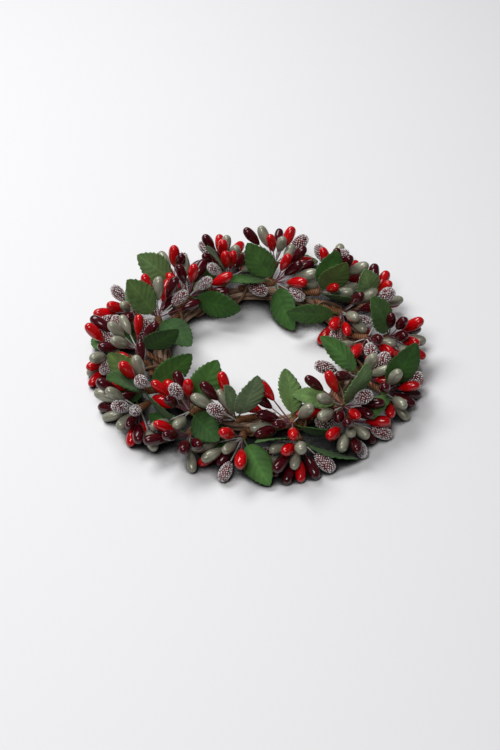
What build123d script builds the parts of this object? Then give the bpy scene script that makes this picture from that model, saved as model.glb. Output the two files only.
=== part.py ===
from build123d import *
from dataclasses import dataclass, field
import math
import os

import numpy as np
from scipy.spatial import cKDTree

# A candle ring: a hoop of wound vine, a thin binder that spirals round it, and short picks of
# artificial berries (pips) and fabric leaves whose taped stems are held under the binder.
# Frame: origin at the centre of the candle opening on the table, +Z up, -Y towards the front.

# Driving dimensions, in millimetres and degrees

# Vine hoop
vine_opening_diameter = 106.0
vine_diameter = 3.2
vine_gap = 0.6
vines = 2
turns_per_vine = 2
vine_end_gap = 9.0
vine_samples_per_turn = 12

# Binder that holds the picks
binder_diameter = 1.6
binder_clearance = 0.4
binder_first_loop = -0.35
binder_end_gap_in_loops = 0.25
binder_samples_per_loop = 12
table_flat_depth = 0.5

# Taped stem of a pick
tail_diameter = 3.4
tail_length = 12.0
mouth_diameter = 5.2
mouth_flare_length = 7.0
mouth_gap = 0.3
tape_bend_share = 0.45
top_seat_angle = 100.0
outer_seat_angle = 15.0
first_tail_angle = 198.0

# Pips
stem_diameter = 0.6
head_length = 14.2
head_diameter = 6.8
frosted_head_length = 13.6
frosted_head_diameter = 8.0
widest_share = 0.62
tip_roundness = 0.84
head_variation = 0.11
pip_reach = 15.5
reach_variation = 0.22
least_tilt = 0.3
shortest_stem = 3.0
longest_stem = 19.0
pips_per_pick = 10

# Leaves
leaf_length = 27.5
leaf_width = 16.5
leaf_base_fullness = 0.88
leaf_bluntness = 0.72
leaf_thickness = 0.4
leaf_bend_radius = 58.0
leaf_stalk_length = 3.5
leaf_stalk_overlap = 4.0
leaf_teeth_per_side = 10
leaf_tooth_depth = 0.8

# Free space
clear_opening_diameter = 62.0
overall_diameter = 203.0
clearance = 0.35
least_clearance = 0.1
stem_clearance = 0.15
sample_spacing = 1.0
blade_sample_radius = 0.88

# How fast a crowded branch gives way in one round of settling
turn_rate = 0.8
roll_rate = 0.5
most_roll = 0.2
stem_rate = 0.5
return_rate = 0.01
settling_rounds = 600
later_rounds = 150
attempts = 8
least_stem_share = 0.7
most_stem_share = 1.5
stem_slack = 2.0
least_lead = -0.3
least_leaf_lead = -0.8

# The elevation from which the places of pips and leaves are given
view_elevation = 44.0

kinds = ("red", "burgundy", "sage", "frosted")


@dataclass
class Pick:
    """One pick. Its mouth is where the pips fan out of the tape: at an angle round the ring,
    a distance outside the hoop's core circle and a height above the table. Each pip is the place
    of its head, right of and above the mouth, as seen from the front at view_elevation.
    A leaf is the place of its tip, its turn away from facing that view, its scale, and -1 where
    it points away from the view."""

    angle: float
    out: float
    height: float
    red: list = field(default_factory=list)
    burgundy: list = field(default_factory=list)
    sage: list = field(default_factory=list)
    frosted: list = field(default_factory=list)
    leaves: list = field(default_factory=list)


# Each station of the ring has one pick on top of the hoop and one on its outer side.
# They run clockwise from the left.
stations = [
    (
        Pick(184, 13, 16, red=[(1, 14)], burgundy=[(8, 10), (-17, 0), (-20, 13)],
             sage=[(-11, 10), (-8, 15), (-9, 4)], frosted=[(-17, 7)],
             leaves=[(22, 7, 50, 0.95, 1)]),
        Pick(181, 26, 9, red=[(-11, 11), (-16, -6), (-10, -14), (-2, -14)],
             burgundy=[(-7, -15)], sage=[(-8, -1), (-13, -8)], frosted=[(-6, -7)],
             leaves=[(-20, -1, 30, 0.75, -1), (8, 18, 10, 0.9, -1)]),
    ),
    (
        Pick(160, 6, 17, red=[(-4, 19), (5, 17)], burgundy=[(9, 18), (20, 8)],
             sage=[(0, 17)], frosted=[(13, 12)],
             leaves=[(-12, 19, 20, 1.0, 1), (18, -13, -15, 1.0, 1)]),
        Pick(157, 24, 12, red=[(-10, 2), (3, 5), (-20, -4)], burgundy=[(-1, -4)],
             sage=[(-4, 3), (-17, 5)], frosted=[(-8, 11), (-14, -5), (-10, -5)],
             leaves=[(-16, 8, 40, 0.85, -1)]),
    ),
    (
        Pick(134, 2, 16, red=[(3, 13), (-11, 11), (20, 8)], burgundy=[(-4, 13), (17, 3)],
             sage=[(-4, 19)], frosted=[(10, 5)],
             leaves=[(23, -13, 0, 1.0, 1)]),
        Pick(130, 21, 12, red=[(-4, 12), (1, 13)], burgundy=[(3, 12)],
             leaves=[(-16, 13, 10, 1.0, 1)]),
    ),
    (
        Pick(106, 5, 16, red=[(3, 10), (-4, 7)], burgundy=[(9, 9)], sage=[(13, 7), (8, -4)],
             frosted=[(-7, 6), (16, -5)], leaves=[(-12, 16, 55, 0.9, 1)]),
        Pick(105, 22, 12, red=[(-2, 8)], burgundy=[(-6, 8), (-7, 4)], sage=[(4, 8), (2, 9)],
             leaves=[(-6, 10, 20, 0.9, -1), (-24, -8, 10, 0.85, 1)]),
    ),
    (
        Pick(78, 0, 16, red=[(7, 10), (13, -1)], burgundy=[(14, 16), (19, 10), (10, 8)],
             sage=[(9, 19), (20, 4), (16, -5)], frosted=[(13, -9), (6, -14)],
             leaves=[(-15, 17, -20, 1.0, 1), (-27, 3, 50, 0.95, 1), (7, -26, 40, 1.05, 1)]),
        Pick(81, 23, 12, red=[(-2, 11), (8, 15)], burgundy=[(-15, 16), (2, 16)],
             sage=[(-7, 16), (3, 10)], frosted=[(13, 11)], leaves=[(10, 9, 30, 0.9, -1)]),
    ),
    (
        Pick(50, 3, 16, red=[(6, 1), (15, 7), (8, -7)], sage=[(18, 5), (13, -1)],
             leaves=[(9, 18, 40, 0.95, 1), (13, 6, 20, 1.0, 1), (18, -8, 75, 0.95, 1)]),
        Pick(53, 23, 12, red=[(-5, 13)], burgundy=[(6, 8), (2, 12)], sage=[(14, 3)],
             frosted=[(4, 10)], leaves=[(1, 12, 20, 0.9, -1)]),
    ),
    (
        Pick(28, 2, 16, red=[(-5, -7), (-9, -14), (1, -10), (13, -11)],
             burgundy=[(7, 9), (17, 4)], sage=[(5, -3), (7, -11), (15, 8)],
             frosted=[(-3, -15), (12, -5)], leaves=[(-32, -6, 5, 1.0, 1)]),
        Pick(30, 23, 12, red=[(8, 8)], frosted=[(5, 5)],
             leaves=[(-2, 14, 35, 0.95, 1), (16, 6, 30, 0.9, -1)]),
    ),
    (
        Pick(4, 9, 16, red=[(-7, -7), (10, -7), (14, -10), (-8, -14)], burgundy=[(4, -1), (7, -13)],
             sage=[(-13, -5), (12, -2)], frosted=[(1, -7)]),
        Pick(7, 23, 12, red=[(13, 7), (11, -2), (16, -8), (5, -13)],
             burgundy=[(5, 6), (14, 4), (5, 0), (0, 9)], sage=[(16, -3), (8, -8), (14, -13)],
             leaves=[(-8, 19, 20, 1.0, 1)]),
    ),
    (
        Pick(-25, 10, 15, burgundy=[(-11, 1)], sage=[(4, 9)], frosted=[(-21, 6)],
             leaves=[(-20, 24, 45, 1.0, 1)]),
        Pick(-25, 24, 10, red=[(13, 4), (19, 2), (2, -10)], burgundy=[(-1, 2), (12, -6), (20, -7)],
             sage=[(5, 8), (7, -6), (11, -10)],
             leaves=[(18, 23, 30, 1.05, 1), (-7, -13, 80, 0.9, 1)]),
    ),
    (
        Pick(-46, 14, 15, red=[(-7, 14), (5, -4), (-17, -7)],
             burgundy=[(17, 1), (-4, -5), (11, -4), (-17, 13)], sage=[(-8, -5), (-11, 4), (-19, 1)],
             frosted=[(9, 5)], leaves=[(13, 16, 0, 1.1, 1), (-26, 7, 10, 0.9, 1)]),
        Pick(-47, 20, 8, red=[(13, -1), (18, -2), (-10, -5)],
             burgundy=[(-1, -2), (11, -9), (5, -13), (6, -20), (-9, -15)],
             sage=[(5, -5), (-1, -8), (-1, -18)], frosted=[(21, -10), (14, -16), (-15, -1)]),
    ),
    (
        Pick(-73, 11, 15, red=[(-15, 17), (-21, 7), (0, -5)],
             burgundy=[(-16, 12), (-13, 4), (-7, 0), (-14, -5)], sage=[(-10, 20), (-17, -2), (7, 7)],
             leaves=[(22, -5, 75, 0.9, -1), (2, 29, 50, 1.0, -1)]),
        Pick(-72, 20, 10, red=[(-7, -6), (-1, -19)], burgundy=[(-9, -11), (-11, -18), (-5, -17), (9, -17)],
             sage=[(-15, -5), (0, -3), (-15, -13), (-1, -13)], frosted=[(12, -10), (-19, -9)],
             leaves=[(27, -24, 75, 1.0, 1), (-22, -1, 80, 0.9, 1)]),
    ),
    (
        Pick(-100, 8, 17, red=[(-6, 19), (-16, -1)], burgundy=[(-13, 15), (-21, 4)],
             sage=[(-19, 12), (-17, 9), (-9, 11)], frosted=[(-7, 4)],
             leaves=[(-3, 17, 60, 0.75, 1), (10, 23, 30, 1.0, 1)]),
        Pick(-96, 16, 12, red=[(-8, 2), (-16, -7), (-1, -11)], burgundy=[(-15, 3), (-10, -11)],
             sage=[(-17, -3), (-15, -10), (-7, -5)], frosted=[(-18, 2), (-9, -18)],
             leaves=[(1, -28, 25, 0.95, 1), (-29, 1, 10, 0.95, -1)]),
    ),
    (
        Pick(-124, 10, 15, red=[(-16, 13), (-11, 14), (1, 11), (-19, 7)],
             burgundy=[(-5, 16), (-10, 1), (-18, -1)], sage=[(-16, 4), (-13, -4), (-5, -5)],
             frosted=[(-4, 10)], leaves=[(14, 20, 30, 1.0, 1), (15, -12, 30, 0.95, 1)]),
        Pick(-119, 21, 9, red=[(-14, 5), (-17, -13)],
             burgundy=[(-9, 1), (-16, -4), (-22, -8), (5, -2), (0, -5)], sage=[(-10, -7), (5, -11)],
             frosted=[(-22, 3)], leaves=[(-22, 12, 10, 0.75, -1)]),
    ),
    (
        Pick(-148, 18, 16, red=[(-10, 8), (-11, 16)], burgundy=[(-2, 21)], sage=[(-3, 14)],
             frosted=[(-1, 5)],
             leaves=[(-19, 4, 40, 1.0, 1), (12, -17, 55, 1.0, 1), (-18, 19, 45, 0.85, 1),
                     (26, 15, 20, 1.0, 1)]),
        Pick(-144, 25, 10, red=[(-13, -14), (-5, -15)],
             burgundy=[(-18, 12), (-19, -5), (-2, -9), (-11, -18)],
             sage=[(-12, 6), (-18, 3), (-8, -7), (-16, -11), (3, -18)], frosted=[(-14, -2), (-1, -2)],
             leaves=[(-10, 18, 10, 0.95, -1)]),
    ),
]

# Sizes that follow from the driving dimensions

strands = vines * turns_per_vine
strand_offset = (vine_diameter + vine_gap) / (2 * math.sin(math.pi / strands))
bundle_radius = strand_offset + vine_diameter / 2
hoop_radius = vine_opening_diameter / 2 + bundle_radius
hoop_height = bundle_radius + binder_clearance + binder_diameter - table_flat_depth
seat_offset = bundle_radius + binder_clearance + tail_diameter / 2
station_step = 360 / len(stations)

elevation = math.radians(view_elevation)
view_right = np.array([1.0, 0.0, 0.0])
view_up = np.array([0.0, math.sin(elevation), math.cos(elevation)])
view_toward = np.array([0.0, -math.cos(elevation), math.sin(elevation)])


# Vectors

def unit(vector):
    return vector / np.linalg.norm(vector)


def hoop_point(core_angle, section_angle, offset):
    """A point at an offset from the hoop's core circle; both angles are in degrees."""
    core, section = math.radians(core_angle), math.radians(section_angle)
    radius = hoop_radius + offset * math.cos(section)
    height = hoop_height + offset * math.sin(section)
    return np.array([radius * math.cos(core), radius * math.sin(core), height])


def across(direction, hint):
    """The unit vector nearest to hint that is square to direction."""
    part = hint - direction * float(hint @ direction)
    if np.linalg.norm(part) < 1e-6:
        part = view_up - direction * float(view_up @ direction)
    return unit(part)


# Wound tubes

def biarc(start, start_tangent, end, end_tangent):
    """Two arcs that leave start and reach end along the given tangents."""
    chord = end - start
    total = start_tangent + end_tangent
    a = 2 * (1 - float(start_tangent @ end_tangent))
    b = 2 * float(chord @ total)
    c = -float(chord @ chord)
    reach = (-b + math.sqrt(b * b - 4 * a * c)) / (2 * a)
    first = start + reach * start_tangent
    last = end - reach * end_tangent
    middle = (first + last) / 2
    tangent = unit(last - first)
    return [
        Edge.make_tangent_arc(Vector(*start), Vector(*start_tangent), Vector(*middle)),
        Edge.make_tangent_arc(Vector(*middle), Vector(*tangent), Vector(*end)),
    ]


def wound_tube(path, first, last, samples, diameter):
    """A round tube along path(t) from t = first to last, with straight ends one diameter long."""
    places = np.linspace(first, last, samples + 1)
    nudge = (last - first) / samples / 50
    points = [path(t) for t in places]
    tangents = [unit(path(t + nudge) - path(t - nudge)) for t in places]
    head = points[0] - diameter * tangents[0]
    tail = points[-1] + diameter * tangents[-1]
    edges = [Edge.make_line(Vector(*head), Vector(*points[0]))]
    for here, there in zip(range(samples), range(1, samples + 1)):
        edges += biarc(points[here], tangents[here], points[there], tangents[there])
    edges.append(Edge.make_line(Vector(*points[-1]), Vector(*tail)))
    section = Plane(origin=Vector(*head), z_dir=Vector(*tangents[0])) * Circle(diameter / 2)
    return sweep(section, path=Wire(edges))


def least_gap(path, first, last, diameter, points=1600):
    """The least distance of a wound tube's wall to itself, leaving out the stretch beside each point."""
    line = np.array([path(t) for t in np.linspace(first, last, points)])
    run = np.concatenate([[0], np.cumsum(np.linalg.norm(np.diff(line, axis=0), axis=1))])
    pairs = cKDTree(line).query_pairs(4 * diameter, output_type="ndarray")
    apart = np.abs(run[pairs[:, 0]] - run[pairs[:, 1]]) > 6 * diameter
    pairs = pairs[apart]
    if len(pairs) == 0:
        return 3 * diameter
    gaps = np.linalg.norm(line[pairs[:, 0]] - line[pairs[:, 1]], axis=1)
    return float(gaps.min()) - diameter


def vine_path(vine):
    """A vine's line round the hoop, by turns; it changes its place in the bundle on each turn."""
    def path(turn):
        section = 360 * (vine / strands + turn * (1 + 1 / turns_per_vine))
        return hoop_point(360 * turn, section, strand_offset)
    return path


def binder_radius(section_angle):
    """How far the binder's line lies from the core circle, drawn tight over the bundle and two tails."""
    lift = binder_clearance + binder_diameter / 2
    around = np.radians(np.arange(-88.0, 88.1, 0.5))
    facing = math.radians(section_angle) + around
    reach = np.full(facing.shape, bundle_radius + lift)
    for seat in (top_seat_angle, outer_seat_angle):
        over_tail = seat_offset * np.cos(facing - math.radians(seat)) + tail_diameter / 2 + lift
        reach = np.maximum(reach, over_tail)
    return float(np.min(reach / np.cos(around)))


def binder_path(loop):
    """The binder's line, by loops: at a whole number it crosses the tail of a pick on top."""
    section = top_seat_angle - 360 * loop
    return hoop_point(first_tail_angle - station_step * loop, section, binder_radius(section))


def make_vines():
    made = {}
    last = turns_per_vine - vine_end_gap / (2 * math.pi * hoop_radius)
    for vine in range(vines):
        path = vine_path(vine)
        samples = round(last * vine_samples_per_turn)
        made[f"vine_{vine + 1}"] = wound_tube(path, 0, last, samples, vine_diameter)
        print(f"vine {vine + 1}: least gap to itself {least_gap(path, 0, last, vine_diameter):.2f} mm")
    return made


def make_binder():
    first = binder_first_loop
    last = first + len(stations) - binder_end_gap_in_loops
    samples = round((last - first) * binder_samples_per_loop)
    tube = wound_tube(binder_path, first, last, samples, binder_diameter)
    print(f"binder: least gap to itself {least_gap(binder_path, first, last, binder_diameter):.2f} mm")
    return split(tube, Plane.XY, keep=Keep.TOP)


# Taped stems

def tail_place(station, seat_angle):
    """The middle of a tail under the binder, and the way it points, clockwise round the ring."""
    loop = station + (top_seat_angle - seat_angle) / 360
    core_angle = first_tail_angle - station_step * loop
    core = math.radians(core_angle)
    return hoop_point(core_angle, seat_angle, seat_offset), np.array([math.sin(core), -math.cos(core), 0.0])


def mouth_place(pick):
    core = math.radians(pick.angle)
    radius = hoop_radius + pick.out
    return np.array([radius * math.cos(core), radius * math.sin(core), pick.height])


def tape_line(station, seat_angle, pick):
    """Three points of a taped stem: its cut end, its bend and its mouth."""
    middle, forward = tail_place(station, seat_angle)
    return middle - forward * tail_length / 2, middle + forward * tail_length / 2, mouth_place(pick)


def make_tape_stem(line):
    """A taped stem that follows the hoop, bends away from it and widens to its round mouth."""
    end, bend, mouth = line
    axis = unit(mouth - bend)
    flare = mouth - axis * mouth_flare_length
    turn = math.acos(np.clip(unit(bend - end) @ axis, -1, 1))
    shorter = min(np.linalg.norm(bend - end), np.linalg.norm(flare - bend))
    radius = tape_bend_share * shorter / math.tan(turn / 2)
    path = FilletPolyline(Vector(*end), Vector(*bend), Vector(*flare), radius=radius)
    section = Plane(origin=Vector(*end), z_dir=Vector(*(bend - end))) * Circle(tail_diameter / 2)
    tail_radius, mouth_radius = tail_diameter / 2, mouth_diameter / 2
    outline = Polyline((0, mouth_flare_length + mouth_radius), (0, 0), (tail_radius, 0),
                       (mouth_radius, mouth_flare_length))
    cap = CenterArc((0, mouth_flare_length), mouth_radius, 0, 90)
    flared = revolve(Plane.XZ * make_face(Wire([*outline.edges(), cap])), Axis.Z)
    return sweep(section, path=path) + Plane(origin=Vector(*flare), z_dir=Vector(*axis)) * flared


# Pips and leaves as branches of a pick

class Branch:
    """A pip or a leaf: it leaves the round mouth of its pick and runs straight along direction."""

    def __init__(self, pick_index, kind, mouth, direction, axis, stem, scale, normal):
        self.pick_index = pick_index
        self.mouth = mouth
        self.kind = kind
        self.direction = unit(direction)
        self.axis = axis
        self.stem = stem
        self.scale = scale
        self.normal = across(self.direction, normal)
        self.filler = False

    def start(self):
        return self.mouth + self.direction * (mouth_diameter / 2 + mouth_gap)

    def rank(self):
        """How much it is missed when it is left off: pips on a hidden side first, then short stems."""
        return (not self.filler, self.kind == "leaf", self.stem)

    def head_size(self):
        if self.kind == "frosted":
            return frosted_head_length * self.scale, frosted_head_diameter * self.scale
        return head_length * self.scale, head_diameter * self.scale

    def samples(self):
        """Rows of share of the stem, distance past it, side, lift and radius, that stand for its volume."""
        spots = max(4, round(self.stem / sample_spacing))
        rows = [(share, 0, 0, 0, stem_diameter / 2) for share in np.linspace(0, 1, spots)]
        if self.kind == "leaf":
            for along in np.linspace(0, 0.99, 15):
                half = (leaf_half_width(along) + leaf_tooth_depth) * self.scale
                past = along * leaf_length * self.scale
                for share in np.linspace(-1, 1, 9):
                    side = share * half
                    sag = leaf_thickness / 2 - (past * past + side * side) / (2 * leaf_bend_radius)
                    rows.append((1, past, side, sag, blade_sample_radius))
            return rows
        length, diameter = self.head_size()
        for along in (0.1, 0.22, 0.35, 0.5, 0.62, 0.72, 0.8):
            rows.append((1, along * length, 0, 0, pip_radius(along, diameter)))
        return rows


def pip_radius(along, diameter):
    """A head's radius at a share of its length, close to its drawn outline."""
    if along > widest_share:
        share = (along - widest_share) / (1 - widest_share)
        return diameter / 2 * math.sqrt(max(0.0, 1 - share * share))
    share = 1 - along / widest_share
    return diameter / 2 - (diameter - stem_diameter) / 2 * share * share


def leaf_half_width(along):
    """An ovate blade: half its width at a share of its length."""
    return leaf_width / 2 * math.sin(math.pi * along ** leaf_base_fullness) ** leaf_bluntness


def seen(right, up, reach, height, lowest, side):
    """The direction and reach of a branch whose end is seen right of and above its mouth.
    Side is 1 where it leans towards the view and -1 where it leans away."""
    offset = math.hypot(right, up)
    toward = side * max(math.sqrt(max(0.0, reach * reach - offset * offset)), least_tilt * offset)
    rise = height + up * view_up[2]
    if rise + toward * view_toward[2] < lowest:
        toward = (lowest - rise) / view_toward[2]
    offset = right * view_right + up * view_up + toward * view_toward
    return offset, float(np.linalg.norm(offset))


def variation(count, amount):
    """An even spread of scales about 1, up to amount either way, that never repeats."""
    golden = (math.sqrt(5) - 1) / 2
    return 1 + amount * (2 * ((count * golden) % 1) - 1)


def hidden_directions(axis, taken, count):
    """Directions that fill the sides of a pick that face away from the view, each far from the rest."""
    tries = 240
    golden = math.pi * (3 - math.sqrt(5))
    heights = 1 - 2 * (np.arange(tries) + 0.5) / tries
    rings = np.sqrt(1 - heights * heights)
    turns = golden * np.arange(tries)
    sphere = np.stack([rings * np.cos(turns), rings * np.sin(turns), heights], axis=1)
    allowed = (sphere @ axis > 0.15) & (sphere @ view_toward < 0.05) & (sphere[:, 2] > -0.3)
    free = sphere[allowed]
    chosen = []
    for _ in range(count):
        others = np.array(list(taken) + chosen)
        nearest = (free @ others.T).max(axis=1)
        chosen.append(free[int(np.argmin(nearest))])
    return chosen


def make_branches():
    """Every pip and leaf of every pick, before they are settled."""
    branches, mouths, lines = [], [], []
    for station, pair in enumerate(stations):
        for pick, seat in zip(pair, (top_seat_angle, outer_seat_angle)):
            index = len(mouths)
            line = tape_line(station, seat, pick)
            axis = unit(line[2] - line[1])
            mouths.append(line[2])
            lines.append(line)
            taken = []
            for kind in kinds:
                for right, up in getattr(pick, kind):
                    reach = pip_reach * variation(2 * len(branches), reach_variation)
                    side = -1 if math.hypot(right, up) > reach and len(taken) % 2 else 1
                    offset, reach = seen(right, up, reach, pick.height, head_diameter / 2 + clearance, side)
                    branches.append(pip_branch(index, kind, line[2], offset, axis, reach, len(branches)))
                    taken.append(unit(offset))
            counts = {kind: len(getattr(pick, kind)) for kind in kinds}
            missing = max(0, pips_per_pick - len(taken))
            blades = []
            for right, up, turn, scale, side in pick.leaves:
                reach = leaf_stalk_length + leaf_length * scale
                offset, _ = seen(right, up, reach, pick.height, leaf_thickness + clearance, side)
                blades.append((offset, turn, scale))
                taken.append(unit(offset))
            for direction in hidden_directions(axis, taken, missing):
                kind = min(kinds, key=counts.get)
                counts[kind] += 1
                reach = pip_reach * variation(2 * len(branches), reach_variation)
                branches.append(pip_branch(index, kind, line[2], direction, axis, reach, len(branches)))
                branches[-1].filler = True
            for offset, turn, scale in blades:
                branches.append(leaf_branch(index, line[2], offset, axis, turn, scale))
    return branches, mouths, lines


def pip_branch(index, kind, mouth, offset, axis, reach, count):
    branch = Branch(index, kind, mouth, offset, axis, 0.0, variation(count, head_variation), view_toward)
    length, _ = branch.head_size()
    branch.stem = float(np.clip(reach - length / 2 - mouth_diameter / 2, shortest_stem, longest_stem))
    return branch


def leaf_branch(index, mouth, offset, axis, turn, scale):
    branch = Branch(index, "leaf", mouth, offset, axis, leaf_stalk_length, scale, view_toward)
    angle = math.radians(turn)
    sideways = np.cross(branch.direction, branch.normal)
    branch.normal = branch.normal * math.cos(angle) + sideways * math.sin(angle)
    return branch


def fixed_spheres(lines):
    """Points, radii and picks that stand for the binder and the taped stems."""
    points, radii, picks = [], [], []
    for loop in np.arange(0, len(stations), 1 / 36):
        points.append(binder_path(loop))
        radii.append(binder_diameter / 2 + binder_clearance)
        picks.append(-1)
    for index, (end, bend, mouth) in enumerate(lines):
        for share in np.linspace(0, 1, 8):
            points.append(end + (bend - end) * share)
            radii.append(tail_diameter / 2)
            picks.append(index)
        for share in np.linspace(0.08, 0.9, 10):
            points.append(bend + (mouth - bend) * share)
            radii.append(tail_diameter / 2 + (mouth_diameter - tail_diameter) / 2 * share)
            picks.append(index)
    return np.array(points), np.array(radii), np.array(picks)


def close_pairs(place, radius, owner):
    """Pairs of samples of different branches that are close enough to meet soon."""
    large = np.flatnonzero(radius > 1)
    small = np.flatnonzero(radius <= 1)
    reach = 2.0
    big_tree, small_tree = cKDTree(place[large]), cKDTree(place[small])
    widest = radius.max()
    heads = big_tree.query_pairs(2 * widest + reach, output_type="ndarray")
    blades = small_tree.query_pairs(2 * radius[small].max() + reach, output_type="ndarray")
    mixed = small_tree.sparse_distance_matrix(
        big_tree, radius[small].max() + widest + reach, output_type="ndarray")
    first = np.concatenate([large[heads[:, 0]], small[blades[:, 0]], small[mixed["i"]]])
    second = np.concatenate([large[heads[:, 1]], small[blades[:, 1]], large[mixed["j"]]])
    keep = owner[first] != owner[second]
    first, second = first[keep], second[keep]
    keep = np.linalg.norm(place[first] - place[second], axis=1) < radius[first] + radius[second] + reach
    return first[keep], second[keep]


def settle(branches, lines, rounds):
    """Turns the branches apart until every pip and leaf clears the rest, the table and the opening.
    Returns the gap left between each two branches that are still too close; a branch that is too
    close to the hoop, the binder or a taped stem is paired with itself."""
    rows = [branch.samples() for branch in branches]
    owner = np.concatenate([[i] * len(r) for i, r in enumerate(rows)])
    share, past, side, lift, radius = np.concatenate([np.array(r) for r in rows]).T
    count = len(branches)
    mouth = np.array([b.mouth for b in branches])
    axis = np.array([b.axis for b in branches])
    pick = np.array([b.pick_index for b in branches])[owner]
    is_leaf = np.array([b.kind == "leaf" for b in branches])
    direction = np.array([b.direction for b in branches])
    normal = np.array([b.normal for b in branches])
    stem = np.array([b.stem for b in branches])
    wanted = np.array([b.wanted for b in branches])
    wanted_stem = np.array([b.wanted_stem for b in branches])
    on_stem = past == 0
    fixed_points, fixed_radii, fixed_picks = fixed_spheres(lines)
    fixed_tree = cKDTree(fixed_points)
    for step in range(rounds):
        sideways = np.cross(direction, normal)
        along = mouth_diameter / 2 + mouth_gap + share * stem[owner] + past
        place = mouth[owner] + along[:, None] * direction[owner]
        place += side[:, None] * sideways[owner] + lift[:, None] * normal[owner]
        push = np.zeros_like(place)
        if step % 5 == 0:
            first, second = close_pairs(place, radius, owner)
            together = pick[first] == pick[second]
            room = np.where(together & on_stem[first] & on_stem[second], stem_clearance, clearance)
            which = fixed_tree.query(place, k=16)[1]
        gap = place[second] - place[first]
        distance = np.maximum(np.linalg.norm(gap, axis=1), 1e-6)
        excess = radius[first] + radius[second] + room - distance
        hit = excess > 0
        shove = gap[hit] / distance[hit, None] * excess[hit, None] / 2
        np.add.at(push, first[hit], -shove)
        np.add.at(push, second[hit], shove)
        blocked = np.zeros(len(place))
        for column in range(which.shape[1]):
            other = which[:, column]
            away = place - fixed_points[other]
            near = np.maximum(np.linalg.norm(away, axis=1), 1e-6)
            over = radius + fixed_radii[other] + clearance - near
            over[on_stem & (fixed_picks[other] == pick)] = 0
            push += away / near[:, None] * np.maximum(0, over)[:, None]
            blocked = np.maximum(blocked, over)
        spread = np.maximum(np.linalg.norm(place[:, :2], axis=1), 1e-6)
        outward = np.column_stack([place[:, :2] / spread[:, None], np.zeros(len(place))])
        from_core = outward * (spread - hoop_radius)[:, None]
        from_core[:, 2] = place[:, 2] - hoop_height
        depth = np.maximum(np.linalg.norm(from_core, axis=1), 1e-6)
        over = bundle_radius + radius + clearance - depth
        push += from_core / depth[:, None] * np.maximum(0, over)[:, None]
        blocked = np.maximum(blocked, over)
        push[:, 2] += np.maximum(0, radius + clearance - place[:, 2])
        push += outward * np.maximum(0, clear_opening_diameter / 2 + radius - spread)[:, None]
        push -= outward * np.maximum(0, spread + radius - overall_diameter / 2)[:, None]
        active = np.linalg.norm(push, axis=1) > 1e-9
        lever = np.where(active, along, 0)
        turn = np.zeros_like(direction)
        np.add.at(turn, owner, push * lever[:, None])
        turn /= (np.bincount(owner, lever * lever, count) + 1e-9)[:, None]
        stretch = np.bincount(owner, (push * direction[owner]).sum(axis=1) * active, count)
        stretch /= np.maximum(np.bincount(owner, active, count), 1)
        roll = np.bincount(owner, side * (push * normal[owner]).sum(axis=1), count)
        roll /= np.bincount(owner, np.where(active, side * side, 0), count) + 1e-9
        pull = return_rate * max(0.0, 1 - 1.5 * step / rounds)
        direction += turn_rate * turn + pull * (wanted - direction)
        forward = (direction * axis).sum(axis=1)
        lead = np.where(is_leaf, least_leaf_lead, least_lead)
        direction += np.maximum(0, lead - forward)[:, None] * axis
        direction /= np.linalg.norm(direction, axis=1)[:, None]
        normal = normal - roll_rate * np.clip(roll, -most_roll, most_roll)[:, None] * sideways
        normal -= (normal * direction).sum(axis=1)[:, None] * direction
        normal /= np.linalg.norm(normal, axis=1)[:, None]
        shortest = least_stem_share * wanted_stem
        longest = np.minimum(most_stem_share * wanted_stem + stem_slack, longest_stem)
        stem = np.where(is_leaf, stem, np.clip(stem + stem_rate * stretch, shortest, longest))
    for index, branch in enumerate(branches):
        branch.direction, branch.normal, branch.stem = direction[index], normal[index], float(stem[index])
    tight = {}
    for one, two, gap_left in zip(owner[first], owner[second], room - excess):
        if gap_left < least_clearance:
            key = (min(one, two), max(one, two))
            tight[key] = min(tight.get(key, clearance), gap_left)
    for one in np.unique(owner[clearance - blocked < least_clearance]):
        tight[(one, one)] = 0.0
    return tight


def settle_all(branches, lines):
    """Settles the branches; one that still has no room after that is left off its pick."""
    for branch in branches:
        branch.wanted = branch.direction.copy()
        branch.wanted_stem = branch.stem
    tight = settle(branches, lines, settling_rounds)
    left_off = 0
    for _ in range(attempts):
        if not tight:
            break
        drop = set()
        for one, two in sorted(tight, key=tight.get):
            if one in drop or two in drop:
                continue
            drop.add(min((one, two), key=lambda index: branches[index].rank()))
        left_off += len(drop)
        branches = [branch for index, branch in enumerate(branches) if index not in drop]
        tight = settle(branches, lines, later_rounds)
    print(f"settled with {left_off} branches left off; {len(tight)} pairs closer than {least_clearance} mm")
    return branches


# Solids of pips and leaves

def branch_plane(branch):
    """A plane at the branch's start: z along it, x the blade's width."""
    sideways = np.cross(branch.direction, branch.normal)
    return Plane(origin=Vector(*branch.start()), x_dir=Vector(*sideways), z_dir=Vector(*branch.direction))


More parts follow.
